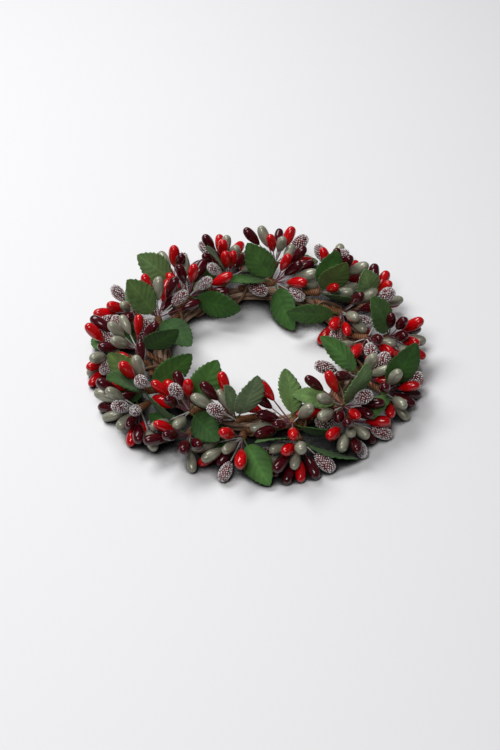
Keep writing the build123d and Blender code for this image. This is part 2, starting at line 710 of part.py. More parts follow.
def make_pip(branch):
    """A stem and its dipped head, turned as one piece: a teardrop with a round tip."""
    length, diameter = branch.head_size()
    stem_radius = stem_diameter / 2
    base = branch.stem
    half_width = diameter / 2
    widest = (half_width, base + widest_share * length)
    tip_radius = tip_roundness * half_width
    tip_centre = base + length - tip_radius
    rise = tip_centre - widest[1]
    side_radius = (half_width ** 2 + rise ** 2 - tip_radius ** 2) / (2 * (half_width - tip_radius))
    lean = math.atan2(rise, side_radius - half_width)
    meeting = (tip_radius * math.cos(lean), tip_centre + tip_radius * math.sin(lean))
    stem_side = Polyline((0, 0), (stem_radius, 0), (stem_radius, base))
    flank = TangentArc(widest, (stem_radius, base), tangent=(0, -1))
    crown = TangentArc(widest, meeting, tangent=(0, 1))
    tip = CenterArc((0, tip_centre), tip_radius, math.degrees(lean), 90 - math.degrees(lean))
    centre = Line((0, base + length), (0, 0))
    half = make_face(Wire([*stem_side.edges(), flank, crown, tip, centre]))
    turned = revolve(Plane.XZ * half, Axis.Z)
    return branch_plane(branch) * turned


def leaf_outline(scale):
    """Half the toothed margin of a blade, from its stalk to its tip."""
    points = []
    for tooth in range(leaf_teeth_per_side):
        inner = (tooth + 0.15) / leaf_teeth_per_side
        outer = (tooth + 0.95) / leaf_teeth_per_side
        points.append((leaf_half_width(inner) * scale, inner * leaf_length * scale))
        points.append(((leaf_half_width(outer) + leaf_tooth_depth) * scale, outer * leaf_length * scale))
    return points


leaf_shapes = {}


def make_leaf_shape(scale):
    """A toothed blade cut from a thin dome, on a round stalk that runs on under it as its midrib."""
    if scale in leaf_shapes:
        return leaf_shapes[scale]
    stalk_end = leaf_stalk_length + leaf_stalk_overlap
    right = leaf_outline(scale)
    left = [(-x, y) for x, y in reversed(right)]
    tip = (0, leaf_length * scale)
    margin = Polyline((0, 0), *right, tip, *left, close=True)
    flat = Pos(0, leaf_stalk_length) * make_face(margin)
    drop = leaf_bend_radius
    slab = extrude(Pos(0, 0, -drop) * flat, amount=2 * drop)
    dome = Sphere(leaf_bend_radius) - Sphere(leaf_bend_radius - leaf_thickness)
    blade = slab & (Pos(0, leaf_stalk_length, leaf_thickness - leaf_bend_radius) * dome)
    upper = blade.solids().sort_by(Axis.Z)[-1]
    stalk = Plane(origin=(0, 0, 0), z_dir=(0, 1, 0)) * Cylinder(
        stem_diameter / 2, stalk_end, align=(Align.CENTER, Align.CENTER, Align.MIN))
    leaf_shapes[scale] = upper + stalk
    return leaf_shapes[scale]


def make_leaf(branch):
    normal = Vector(*branch.normal)
    sideways = Vector(*np.cross(branch.direction, branch.normal))
    place = Plane(origin=Vector(*branch.start()), x_dir=sideways, z_dir=normal)
    return place * make_leaf_shape(branch.scale)


# The whole ring

sector_names = ("right", "back_right", "back", "back_left", "left", "front_left", "front", "front_right")


def sector(mouth):
    turn = math.degrees(math.atan2(mouth[1], mouth[0]))
    return sector_names[round(turn / 45) % 8]


def make_ring():
    nodes = make_vines()
    nodes["vine_binder"] = make_binder()
    branches, mouths, lines = make_branches()
    branches = settle_all(branches, lines)
    for mouth, line in zip(mouths, lines):
        nodes.setdefault(f"{sector(mouth)}_taped_stems", []).append(make_tape_stem(line))
    for branch in branches:
        where = sector(mouths[branch.pick_index])
        if branch.kind == "leaf":
            nodes.setdefault(f"{where}_leaves", []).append(make_leaf(branch))
        else:
            nodes.setdefault(f"{where}_{branch.kind}_pips", []).append(make_pip(branch))
    print(f"{len(mouths)} picks, {sum(b.kind != 'leaf' for b in branches)} pips, "
          f"{sum(b.kind == 'leaf' for b in branches)} leaves")
    return nodes


def write(nodes):
    os.makedirs("parts", exist_ok=True)
    for name, shape in nodes.items():
        whole = Compound(children=list(shape)) if isinstance(shape, list) else shape
        export_step(whole, os.path.join("parts", f"{name}.step"))


write(make_ring())
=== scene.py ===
import math
import random

import bmesh
import bpy
import numpy as np
from mathutils import Matrix, Vector, noise


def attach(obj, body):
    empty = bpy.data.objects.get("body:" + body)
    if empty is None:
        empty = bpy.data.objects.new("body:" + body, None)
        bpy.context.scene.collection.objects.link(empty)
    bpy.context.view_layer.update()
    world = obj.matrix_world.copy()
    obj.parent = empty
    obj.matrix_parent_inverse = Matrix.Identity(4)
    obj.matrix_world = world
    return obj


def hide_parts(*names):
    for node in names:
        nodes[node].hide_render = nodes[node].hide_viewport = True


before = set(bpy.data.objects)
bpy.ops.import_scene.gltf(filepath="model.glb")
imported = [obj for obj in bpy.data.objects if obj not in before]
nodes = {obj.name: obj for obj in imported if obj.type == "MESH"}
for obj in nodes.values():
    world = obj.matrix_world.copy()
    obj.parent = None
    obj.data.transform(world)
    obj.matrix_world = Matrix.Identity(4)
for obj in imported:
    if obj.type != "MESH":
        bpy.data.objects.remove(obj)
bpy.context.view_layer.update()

mm = 0.001
root = "root"


# reading the solids of the frame

reading = {
    "weld": 0.002 * mm, "nearWidest": 0.95, "pipEnd": 0.05 * mm, "sameMouth": 1 * mm,
    "leafEnds": 1.5 * mm, "leafStart": 0.3 * mm, "tapeRim": 2.15, "tapeEveryNth": 7,
}


def solidsOf(nodeName):
    # the points of each separate solid of a node: corners at one place are one point, and every
    # point takes the lowest number that its triangles reach
    mesh = nodes[nodeName].data
    corners = np.empty(3 * len(mesh.vertices), np.float32)
    mesh.vertices.foreach_get("co", corners)
    corners = corners.reshape(-1, 3).astype(float)
    mesh.calc_loop_triangles()
    triangles = np.empty(3 * len(mesh.loop_triangles), np.int32)
    mesh.loop_triangles.foreach_get("vertices", triangles)
    spots = np.round(corners / reading["weld"]).astype(np.int64)
    _, first, point = np.unique(spots, axis=0, return_index=True, return_inverse=True)
    triangles = point.reshape(-1)[triangles].reshape(-1, 3)
    label = np.arange(len(first))
    while True:
        lowest = label[triangles].min(axis=1)
        fresh = label.copy()
        for corner in range(3):
            np.minimum.at(fresh, triangles[:, corner], lowest)
        fresh = fresh[fresh]
        if (fresh == label).all():
            return [corners[first[label == one]] for one in np.unique(label)]
        label = fresh


def alongAxis(points):
    # how far each point lies along the longest way through a solid, and how far off it
    centre = points.mean(axis=0)
    axis = np.linalg.svd(points - centre, full_matrices=False)[2][0]
    along = (points - centre) @ axis
    apart = np.linalg.norm(points - centre - np.outer(along, axis), axis=1)
    return along, apart


pipSizes = {
    "slimness": {"red": 14.2 / 6.8, "burgundy": 14.2 / 6.8, "sage": 14.2 / 6.8, "frosted": 13.6 / 8.0},
    "mouthToStem": 2.9 * mm,
}


def readPip(points, kind):
    # where a pip's thread starts, where its head starts and ends, and how wide it is
    along, apart = alongAxis(points)
    widest = along[apart > reading["nearWidest"] * apart.max()].mean()
    if along.max() - widest > widest - along.min():
        along = -along
    start = Vector(points[along < along.min() + reading["pipEnd"]].mean(axis=0))
    tip = Vector(points[along.argmax()])
    way = (tip - start).normalized()
    flat = points - np.array(start)
    radius = np.linalg.norm(flat - np.outer(flat @ np.array(way), np.array(way)), axis=1).max()
    length = 2 * radius * pipSizes["slimness"][kind]
    return {"start": start, "way": way, "base": tip - way * length, "length": length, "radius": radius,
            "mouth": start - way * pipSizes["mouthToStem"]}


leafSizes = {
    "length": 27.5 * mm, "width": 16.5 * mm, "baseFullness": 0.88, "bluntness": 0.72, "stalk": 3.5 * mm,
    "domeRadius": 58 * mm, "thickness": 0.4 * mm,
}


def readLeaf(points):
    # the dome that the blade was cut from gives the way it faces, and its narrower end is the stalk
    sphere = np.hstack([2 * points, np.ones((len(points), 1))])
    dome = Vector(np.linalg.lstsq(sphere, (points ** 2).sum(axis=1), rcond=None)[0][:3])
    along, _ = alongAxis(points)
    low = points[along < along.min() + reading["leafEnds"]]
    high = points[along > along.max() - reading["leafEnds"]]
    if np.ptp(low, axis=0).max() > np.ptp(high, axis=0).max():
        along = -along
    start = Vector(points[along < along.min() + reading["leafStart"]].mean(axis=0))
    tip = Vector(points[along.argmax()])
    lean = math.atan2(leafSizes["stalk"], leafSizes["domeRadius"] - leafSizes["thickness"])
    up = (start - dome).normalized()
    way = tip - start
    way = (way - up * way.dot(up)).normalized()
    normal = (up * math.cos(lean) + way * math.sin(lean)).normalized()
    forward = (way * math.cos(lean) - up * math.sin(lean)).normalized()
    length = (tip - start).dot(forward) - leafSizes["stalk"]
    return {"start": start, "forward": forward, "normal": normal, "scale": length / leafSizes["length"]}


tapeSizes = {"tailRun": 12 * mm, "flare": 7 * mm, "tailRadius": 1.7 * mm, "mouthRadius": 2.6 * mm}


def readTape(points, mouths):
    # a taped stem's cut end, its bend and its mouth
    centre = Vector(points.mean(axis=0))
    some = points[::reading["tapeEveryNth"]]
    mouth = min(mouths, key=lambda place: min((Vector(point) - place).length for point in some))
    farthest = points[np.linalg.norm(points - np.array(mouth), axis=1).argmax()]
    rimReach = reading["tapeRim"] * tapeSizes["tailRadius"]
    rim = points[np.linalg.norm(points - farthest, axis=1) < rimReach]
    end = Vector(rim.mean(axis=0))
    forward = Vector(np.linalg.svd(rim - rim.mean(axis=0), full_matrices=False)[2][2])
    if forward.dot(centre - end) < 0:
        forward = -forward
    return {"end": end, "bend": end + forward * tapeSizes["tailRun"], "mouth": mouth}


kinds = ("red", "burgundy", "sage", "frosted")
sectors = sorted({name[:-len("_leaves")] for name in nodes if name.endswith("_leaves")})
pips = {(sector, kind): [readPip(points, kind) for points in solidsOf(f"{sector}_{kind}_pips")]
        for sector in sectors for kind in kinds if f"{sector}_{kind}_pips" in nodes}
leaves = {sector: [readLeaf(points) for points in solidsOf(f"{sector}_leaves")] for sector in sectors}
mouths = []
for group in pips.values():
    for pip in group:
        if all((pip["mouth"] - place).length > reading["sameMouth"] for place in mouths):
            mouths.append(pip["mouth"])
tapes = {sector: [readTape(points, mouths) for points in solidsOf(f"{sector}_taped_stems")]
         for sector in sectors}
print("frame read:", sum(map(len, pips.values())), "pips,", sum(map(len, leaves.values())), "leaves,",
      len(mouths), "mouths")


# finishing a piece

def addPiece(name, mesh, finish, slot, *replaced):
    piece = bpy.data.objects.new(name, mesh)
    bpy.context.scene.collection.objects.link(piece)
    mesh.materials.clear()
    mesh.materials.append(finish)
    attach(piece, root)
    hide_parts(*replaced)
    return piece


def toMesh(bm, name, smooth=True):
    mesh = bpy.data.meshes.new(name)
    for face in bm.faces:
        face.smooth = smooth
    bm.to_mesh(mesh)
    bm.free()
    return mesh


tubeForm = {"order": 3, "resolution": 4}


def tubeMesh(name, lines, radius, roundness):
    # one mesh of round tubes along lines of (point, radius factor)
    curve = bpy.data.curves.new(name, "CURVE")
    curve.dimensions = "3D"
    curve.bevel_depth = radius
    curve.bevel_resolution = roundness
    curve.use_fill_caps = True
    curve.resolution_u = tubeForm["resolution"]
    for line in lines:
        spline = curve.splines.new("NURBS")
        spline.points.add(len(line) - 1)
        for point, (place, factor) in zip(spline.points, line):
            point.co = (*place, 1)
            point.radius = factor
        spline.order_u = tubeForm["order"]
        spline.use_endpoint_u = True
        spline.use_smooth = True
    holder = bpy.data.objects.new(name, curve)
    bpy.context.scene.collection.objects.link(holder)
    mesh = bpy.data.meshes.new_from_object(holder.evaluated_get(bpy.context.evaluated_depsgraph_get()))
    bpy.data.objects.remove(holder)
    bpy.data.curves.remove(curve)
    mesh.name = name
    return mesh


def roughen(mesh, height, scale):
    # pushes a surface in and out a little
    scale = Vector(scale)
    normals = [vert.normal.copy() for vert in mesh.vertices]
    for vert, normal in zip(mesh.vertices, normals):
        vert.co += normal * height * noise.noise(vert.co * scale)


def turnTo(way):
    # a turn that takes +Z to way
    across = way.cross(Vector((0, 0, 1)))
    if across.length < 1e-4:    # way is upright itself
        across = way.cross(Vector((1, 0, 0)))
    across.normalize()
    return Matrix((across, way.cross(across), way)).transposed().to_4x4()


def around(angle):
    return Vector((math.cos(angle), math.sin(angle), 0))


# materials

def newMaterial(name):
    material = bpy.data.materials.new(name)
    material.use_nodes = True
    tree = material.node_tree
    return material, tree, tree.nodes["Principled BSDF"]


def setSockets(node, **sockets):
    for key, value in sockets.items():
        node.inputs[key.replace("_", " ")].default_value = value
    return node


def addNode(tree, kind, **sockets):
    return setSockets(tree.nodes.new(kind), **sockets)


def uvOf(tree):
    return tree.nodes.new("ShaderNodeUVMap").outputs["UV"]


def mappedUv(tree, **mapping):
    mapped = addNode(tree, "ShaderNodeMapping", **mapping)
    tree.links.new(uvOf(tree), mapped.inputs["Vector"])
    return mapped.outputs["Vector"]


def placeOf(tree):
    return tree.nodes.new("ShaderNodeTexCoord").outputs["Object"]


def noiseOn(tree, vector, **sockets):
    texture = addNode(tree, "ShaderNodeTexNoise", **sockets)
    tree.links.new(vector, texture.inputs["Vector"])
    return texture.outputs["Fac"]


def waveOn(tree, vector, direction="X", **sockets):
    texture = addNode(tree, "ShaderNodeTexWave", **sockets)
    texture.bands_direction = direction
    tree.links.new(vector, texture.inputs["Vector"])
    return texture.outputs["Fac"]


def mathOf(tree, operation, first, second):
    result = tree.nodes.new("ShaderNodeMath")
    result.operation = operation
    tree.links.new(first, result.inputs[0])
    tree.links.new(second, result.inputs[1])
    return result.outputs["Value"]


def multiplied(tree, first, second):
    mix = tree.nodes.new("ShaderNodeMix")
    mix.data_type = "RGBA"
    mix.blend_type = "MULTIPLY"
    mix.inputs["Factor"].default_value = 1.0
    tree.links.new(first, mix.inputs["A"])
    tree.links.new(second, mix.inputs["B"])
    return mix.outputs["Result"]


def rampOf(tree, source, stops):
    ramp = tree.nodes.new("ShaderNodeValToRGB")
    while len(ramp.color_ramp.elements) < len(stops):
        ramp.color_ramp.elements.new(0.5)
    for element, (place, colour) in zip(ramp.color_ramp.elements, stops):
        element.position = place
        element.color = (*colour, 1)
    tree.links.new(source, ramp.inputs["Fac"])
    return ramp.outputs["Color"]


def colourInto(tree, shader, colour):
    tree.links.new(colour, shader.inputs["Base Color"])


def bumpInto(tree, shader, height, strength, distance):
    bump = addNode(tree, "ShaderNodeBump", Strength=strength, Distance=distance)
    tree.links.new(height, bump.inputs["Height"])
    tree.links.new(bump.outputs["Normal"], shader.inputs["Normal"])


lacquers = {
    "red": {"stops": [(0.25, (0.38, 0.001, 0.002)), (0.62, (0.70, 0.001, 0.006))],
            "rough": 0.2, "coat": 0.7, "metal": 0.0},
    "burgundy": {"stops": [(0.25, (0.018, 0.0007, 0.002)), (0.62, (0.085, 0.0015, 0.007))],
                 "rough": 0.2, "coat": 0.6, "metal": 0.0},
    "sage": {"stops": [(0.25, (0.20, 0.20, 0.145)), (0.62, (0.43, 0.425, 0.325))],
             "rough": 0.32, "coat": 0.4, "metal": 0.2},
}


def lacquerMaterial(kind):
    # a dipped coat, with faint streaks along the pip and shallow dimples
    look = lacquers[kind]
    material, tree, shader = newMaterial(f"{kind}Lacquer")
    streak = noiseOn(tree, mappedUv(tree, Scale=(26, 3, 1)), Scale=1.0, Detail=4.0, Roughness=0.6)
    colourInto(tree, shader, rampOf(tree, streak, look["stops"]))
    dimple = noiseOn(tree, placeOf(tree), Scale=420.0, Detail=2.0)
    bumpInto(tree, shader, dimple, strength=0.18, distance=0.3 * mm)
    setSockets(shader, Roughness=look["rough"], Metallic=look["metal"], Specular_IOR_Level=0.18,
               Coat_Weight=look["coat"], Coat_Roughness=0.07)
    return material


def plainMaterial(name, dark, light, scale, rough):
    # a mottled finish on the piece's own coordinates
    material, tree, shader = newMaterial(name)
    mottle = noiseOn(tree, placeOf(tree), Scale=scale, Detail=5.0, Roughness=0.6)
    colourInto(tree, shader, rampOf(tree, mottle, [(0.3, dark), (0.7, light)]))
    bumpInto(tree, shader, mottle, strength=0.4, distance=0.2 * mm)
    setSockets(shader, Roughness=rough)
    return material


beadStops = [(0.35, (0.13, 0.006, 0.012)), (0.41, (0.48, 0.30, 0.31)), (0.46, (1.0, 0.99, 0.99))]


def beadMaterial():
    # white beads among some that show the wine red under them
    material, tree, shader = newMaterial("glassBeads")
    mixed = noiseOn(tree, placeOf(tree), Scale=1150.0, Detail=1.0)
    colourInto(tree, shader, rampOf(tree, mixed, beadStops))
    setSockets(shader, Roughness=0.12, IOR=1.46, Transmission_Weight=0.1, Coat_Weight=1.0)
    return material


def threadMaterial(name, dark, light):
    # two plies twisted round each other
    material, tree, shader = newMaterial(name)
    turned = mappedUv(tree, Rotation=(0, 0, 0.6), Scale=(14, 2, 1))
    ply = waveOn(tree, turned, Scale=2.0, Distortion=1.5, Detail=2.0)
    colourInto(tree, shader, rampOf(tree, ply, [(0.1, dark), (0.6, light)]))
    bumpInto(tree, shader, ply, strength=0.5, distance=0.15 * mm)
    setSockets(shader, Roughness=0.5, Sheen_Weight=0.3)
    return material


barkLooks = {
    "vineBark": {
        "stretch": (60, 11, 1),
        "stops": [(0.32, (0.050, 0.024, 0.014)), (0.48, (0.30, 0.175, 0.110)), (0.64, (0.62, 0.46, 0.34))],
    },
    "twigBark": {
        "stretch": (90, 7, 1),
        "stops": [(0.28, (0.050, 0.022, 0.012)), (0.5, (0.22, 0.115, 0.062)), (0.72, (0.42, 0.27, 0.165))],
    },
}


def barkMaterial(name):
    # long fibres that run with the vine
    look = barkLooks[name]
    material, tree, shader = newMaterial(name)
    fibre = noiseOn(tree, mappedUv(tree, Scale=look["stretch"]), Scale=1.0, Detail=6.0, Roughness=0.65)
    colourInto(tree, shader, rampOf(tree, fibre, look["stops"]))
    bumpInto(tree, shader, fibre, strength=0.8, distance=0.4 * mm)
    setSockets(shader, Roughness=0.78)
    return material


tapeStops = [(0.0, (0.065, 0.022, 0.008)), (0.5, (0.20, 0.070, 0.022)), (1.0, (0.34, 0.145, 0.055))]


def tapeMaterial():
    # stretched crepe tape, wound in a slow spiral
    material, tree, shader = newMaterial("floralTape")
    turned = mappedUv(tree, Rotation=(0, 0, 0.5), Scale=(5, 2, 1))
    lap = waveOn(tree, turned, Scale=1.2, Distortion=2.5, Detail=3.0)
    colourInto(tree, shader, rampOf(tree, lap, tapeStops))
    bumpInto(tree, shader, lap, strength=0.6, distance=0.3 * mm)
    setSockets(shader, Roughness=0.6)
    return material


clothLook = {
    "weave": {"Scale": 9.0, "Distortion": 1.0, "Detail": 1.0},
    "blotches": [(0.25, (0.62, 0.58, 0.50)), (0.5, (1.0, 1.0, 1.0)), (0.75, (1.35, 1.22, 1.05))],
    "threads": [(0.0, (0.66, 0.66, 0.66)), (0.6, (1.22, 1.22, 1.22))],
}


def leafMaterial():
    # woven, blotched cloth; the tint of each leaf, its midrib and its veins are in its colour attribute,
    # and the tints hold painted light and shade besides the leaves' own greens
    material, tree, shader = newMaterial("leafCloth")
    tint = tree.nodes.new("ShaderNodeVertexColor")
    tint.layer_name = "leafTint"
    uv = uvOf(tree)
    cloth = mathOf(tree, "MULTIPLY", waveOn(tree, uv, "X", **clothLook["weave"]),
                   waveOn(tree, uv, "Y", **clothLook["weave"]))
    blotch = noiseOn(tree, uv, Scale=3.2, Detail=4.0, Roughness=0.6)
    # the tint with its painted light and shade, times the printed blotches
    printAndShade = multiplied(tree, tint.outputs["Color"], rampOf(tree, blotch, clothLook["blotches"]))
    colourInto(tree, shader, multiplied(tree, printAndShade, rampOf(tree, cloth, clothLook["threads"])))
    bumpInto(tree, shader, cloth, strength=0.35, distance=0.12 * mm)
    setSockets(shader, Roughness=0.68, Specular_IOR_Level=0.3, Sheen_Weight=0.12, Sheen_Roughness=0.5)
    return material


lacquered = {kind: lacquerMaterial(kind) for kind in lacquers}
beadFinish = beadMaterial()
coreFinish = plainMaterial("beadCore", dark=(0.030, 0.001, 0.003), light=(0.26, 0.006, 0.014),
                           scale=500.0, rough=0.35)
threadFinish = {"white": threadMaterial("whiteThread", dark=(0.36, 0.34, 0.32), light=(0.74, 0.72, 0.69)),
                "wine": threadMaterial("wineThread", dark=(0.09, 0.006, 0.02), light=(0.27, 0.02, 0.07))}
vineFinish = barkMaterial("vineBark")
twigFinish = barkMaterial("twigBark")
tapeFinish = tapeMaterial()
leafFinish = leafMaterial()
stalkFinish = plainMaterial("leafStalk", dark=(0.035, 0.075, 0.012), light=(0.09, 0.16, 0.03),
                            scale=600.0, rough=0.6)
print("finishes ready")


# pips

pipForm = {
    "widestAt": 0.56, "tipRound": 0.84, "neck": 0.24, "rings": (0, 0.16, 0.36, 0.56, 0.75, 0.88, 0.97, 1),
    "steps": 8, "swell": 1.10, "dent": 0.05, "dentScale": 1.4, "dentDrift": (3.7, 1.3, 0), "spin": 2.4,
}


def headRadius(share, slimness):
    # the head's half width, 1 at its widest, from its thread (share 0) to its round tip (share 1)
    long = 2 * slimness
    widest, tip, neck = pipForm["widestAt"] * long, pipForm["tipRound"], pipForm["neck"]
    here = share * long
    if here <= widest:
        flank = (widest ** 2 + (1 - neck) ** 2) / (2 * (1 - neck))
        return 1 - flank + math.sqrt(flank ** 2 - (widest - here) ** 2)
    rise = long - tip - widest
    side = (1 + rise * rise - tip * tip) / (2 * (1 - tip))
    if here - long + tip > tip * rise / math.hypot(rise, side - 1):
        return math.sqrt(max(0.0, tip * tip - (here - long + tip) ** 2))
    return 1 - side + math.sqrt(side ** 2 - (here - widest) ** 2)


def headMaster(slimness):
    # the outline spun round its own axis, with a radius of 1 at its widest and its tip at z = 1
    bm = bmesh.new()
    outline = [bm.verts.new((headRadius(share, slimness), 0, share)) for share in pipForm["rings"]]
    edges = [bm.edges.new(pair) for pair in zip(outline, outline[1:])]
    bmesh.ops.spin(bm, geom=outline + edges, cent=(0, 0, 0), axis=(0, 0, 1), angle=2 * math.pi,
                   steps=pipForm["steps"], use_merge=True)
    bmesh.ops.remove_doubles(bm, verts=bm.verts, dist=1e-4)
    bmesh.ops.recalc_face_normals(bm, faces=bm.faces)
    layer = bm.loops.layers.uv.new("UVMap")
    for face in bm.faces:
        turns = [math.atan2(vert.co.y, vert.co.x) / math.tau for vert in face.verts]
        wrap = max(turns) - min(turns) > 0.5
        for loop, turn in zip(face.loops, turns):
            loop[layer].uv = (turn + 1 if wrap and turn < 0 else turn, loop.vert.co.z)
    return toMesh(bm, "headMaster")


heads = {kind: headMaster(slimness) for kind, slimness in pipSizes["slimness"].items()}


def addHead(bm, pip, kind, seed, shrink):
    # one head at its place, a little uneven, as a dipped one is
    first = len(bm.verts)
    bm.from_mesh(heads[kind])
    bm.verts.ensure_lookup_table()
    fresh = bm.verts[first:]
    drift = Vector([seed * step for step in pipForm["dentDrift"]])
    for vert in fresh:
        swell = pipForm["swell"] + pipForm["dent"] * noise.noise(vert.co * pipForm["dentScale"] + drift)
        vert.co = Vector((vert.co.x * swell, vert.co.y * swell, vert.co.z))
    size = Matrix.Diagonal((pip["radius"] - shrink, pip["radius"] - shrink, pip["length"] - shrink, 1))
    turn = turnTo(pip["way"]) @ Matrix.Rotation(seed * pipForm["spin"], 4, "Z")
    bmesh.ops.transform(bm, matrix=Matrix.Translation(pip["base"]) @ turn @ size, verts=fresh)


threadForm = {
    "radius": {"white": 0.42 * mm, "wine": 0.36 * mm}, "roundness": 1,
    "depth": 1.2 * mm, "innermost": 0.5 * mm, "spread": 1.1 * mm, "spreadStep": 0.618, "spin": 2.4,
    "bend": 0.45, "bow": 0.25 * mm, "neck": (0.3 * mm, 0.9), "end": (1.2 * mm, 0.8),
}


def threadLine(pip, seed):
    # a thread leaves the bundle in the tape, bends into the line of its pip and ends inside the head
    form = threadForm
    start, base, way = pip["start"], pip["base"], pip["way"]
    axis = mouthAxis(pip["mouth"])
    off = form["innermost"] + form["spread"] * (seed * form["spreadStep"] % 1)
    spot = pip["mouth"] - axis * form["depth"] + turnTo(axis) @ around(seed * form["spin"]) * off
    middle = start.lerp(base, 0.5) + turnTo(way) @ around(seed) * form["bow"]
    neckAt, neckSize = form["neck"]
    endAt, endSize = form["end"]
    return [(spot, 1.0), (start.lerp(spot, form["bend"]), 1.0), (start, 1.0), (middle, 1.0),
            (base + way * neckAt, neckSize), (base + way * endAt, endSize)]


beadForm = {
    "radius": 0.46 * mm, "perPip": 165, "jitter": 0.25, "core": 0.6 * mm,
    "span": (0.05, 0.995), "samples": 200, "goldenTurn": 2.39996, "turnJitter": 0.1, "tipFrom": 0.93,
}


def addBeads(bm, pip, dice):
    # glass beads all over a head, spread by area in a golden spiral
    form = beadForm
    slimness = pipSizes["slimness"]["frosted"]
    shares = np.linspace(*form["span"], form["samples"])
    radii = np.array([headRadius(share, slimness) for share in shares]) * pip["radius"]
    slope = np.hypot(np.gradient(radii), np.gradient(shares) * pip["length"])
    area = np.cumsum(radii * slope)
    turn = turnTo(pip["way"])
    crust = bmesh.new()
    for count in range(form["perPip"]):
        share = float(np.interp((count + 0.5) / form["perPip"] * area[-1], area, shares))
        angle = count * form["goldenTurn"] + dice.uniform(-form["turnJitter"], form["turnJitter"])
        size = form["radius"] * dice.uniform(1 - form["jitter"], 1 + form["jitter"])
        out = max(0, headRadius(share, slimness) * pip["radius"] - size)
        spot = pip["base"] + turn @ (around(angle) * out + Vector((0, 0, share * pip["length"])))
        if share > form["tipFrom"]:    # the beads on the tip sink in as well
            spot -= pip["way"] * size * (share - form["tipFrom"]) / (1 - form["tipFrom"])
        place = Matrix.Translation(spot) @ Matrix.Rotation(angle, 4, pip["way"])
        bmesh.ops.create_icosphere(crust, subdivisions=1, radius=size, matrix=place)
    mesh = toMesh(crust, "crust")
    bm.from_mesh(mesh)
    bpy.data.meshes.remove(mesh)


def mouthAxis(mouth):
    # the way a taped stem points at its mouth
    everyTape = [tape for group in tapes.values() for tape in group]
    nearest = min(everyTape, key=lambda tape: (tape["mouth"] - mouth).length)
    return (nearest["mouth"] - nearest["bend"]).normalized()


def makePips():
    seed = 0
    for (sector, kind), group in pips.items():
        node = f"{sector}_{kind}_pips"
        frosted = kind == "frosted"
        shells = bmesh.new()
        lines = []
        for pip in group:
            seed += 1
            addHead(shells, pip, kind, seed, beadForm["core"] if frosted else 0)
            lines.append(threadLine(pip, seed))
        slot = "frosted_beads" if frosted else f"{kind}_lacquer"
        finish = coreFinish if frosted else lacquered[kind]
        dipped = addPiece(f"{sector}_{kind}_heads", toMesh(shells, f"{node}Heads"), finish, slot, node)
        rounded = dipped.modifiers.new("rounded", "SUBSURF")
        rounded.levels = rounded.render_levels = 1
        thread = "white" if kind in ("sage", "frosted") else "wine"
        mesh = tubeMesh(f"{node}Threads", lines, threadForm["radius"][thread], threadForm["roundness"])
        addPiece(f"{sector}_{kind}_threads", mesh, threadFinish[thread], slot, node)
        if frosted:
            beads = bmesh.new()
            dice = random.Random(seed)
            for pip in group:
                addBeads(beads, pip, dice)
            addPiece(f"{sector}_beads", toMesh(beads, f"{sector}Beads"), beadFinish, slot, node)
    print("pips made:", seed)


# leaves

leafForm = {
    "rows": 60, "columns": 14, "ease": 1.02, "cloth": 0.32 * mm, "uvStep": 1.7,
    "teeth": 12, "toothDepth": 1.0 * mm, "toothStart": 0.2, "toothFrom": 0.86, "toothFull": 3 * mm,
    "fold": 0.9 * mm, "foldCurve": 1.3, "foldRest": 0.35, "crumple": 0.5 * mm, "crumpleScale": 90,
    "crumpleStep": 3.1, "sideVeins": 7, "veinSlant": 1.6, "pleat": 0.32 * mm,
    "ribWidth": 0.05, "ribLight": 0.28, "veinLight": 0.28, "veinFrom": 0.7, "veinFade": 0.6,
    "edgeShade": 0.15, "stalkRadius": 0.45 * mm, "stalkRoundness": 1, "stalkTuck": 3 * mm,
    "stalkReach": 0.5, "stalkSink": 0.3 * mm, "stalkTaper": (0.7, 0.3),
}
# each leaf's tint was matched to how light that leaf looks, so these hold painted light and shade besides
# the leaves' own greens: 'dark' is painted shade on leaves that lie in shadow, and 'pale' and 'grey' are
# partly painted light
leafTints = {
    "fresh": (0.088, 0.220, 0.048), "mid": (0.068, 0.190, 0.034), "deep": (0.042, 0.132, 0.020),
    "pale": (0.230, 0.420, 0.150), "olive": (0.120, 0.205, 0.045), "grey": (0.250, 0.370, 0.190),
    "soft": (0.160, 0.290, 0.085), "dark": (0.028, 0.092, 0.014),
}
# the tint of each leaf of a sector in turn, painted light and shade among them
leafToneAndShade = {
    "right": "fresh",
    "back_right": "mid mid deep olive deep pale mid",
    "back": "mid deep olive mid fresh deep olive",
    "back_left": "mid pale deep",
    "left": "fresh deep soft deep dark",
    "front_left": "olive deep deep deep deep mid mid dark",
    "front": "deep grey grey mid mid soft mid deep",
    "front_right": "soft mid pale fresh deep",
}


def leafHalfWidth(share):
    share = min(0.999, max(0.001, share))    # a hair of width is left at both ends
    full, blunt = leafSizes["baseFullness"], leafSizes["bluntness"]
    return leafSizes["width"] / 2 * math.sin(math.pi * share ** full) ** blunt


def veinWave(u, v):
    # 1 along the side veins and -1 half-way between them
    return math.cos(2 * math.pi * (u * leafForm["sideVeins"] - abs(v) * leafForm["veinSlant"]))


def leafLight(u, v):
    # a factor for the tint: paler on the midrib and the veins, darker towards the margin
    form = leafForm
    rib = math.exp(-(v / form["ribWidth"]) ** 2)
    vein = max(0.0, 0.5 + 0.5 * veinWave(u, v) - form["veinFrom"]) / (1 - form["veinFrom"])
    vein *= 1 - form["veinFade"] * abs(v)
    return 1 + form["ribLight"] * rib + form["veinLight"] * vein - form["edgeShade"] * abs(v)


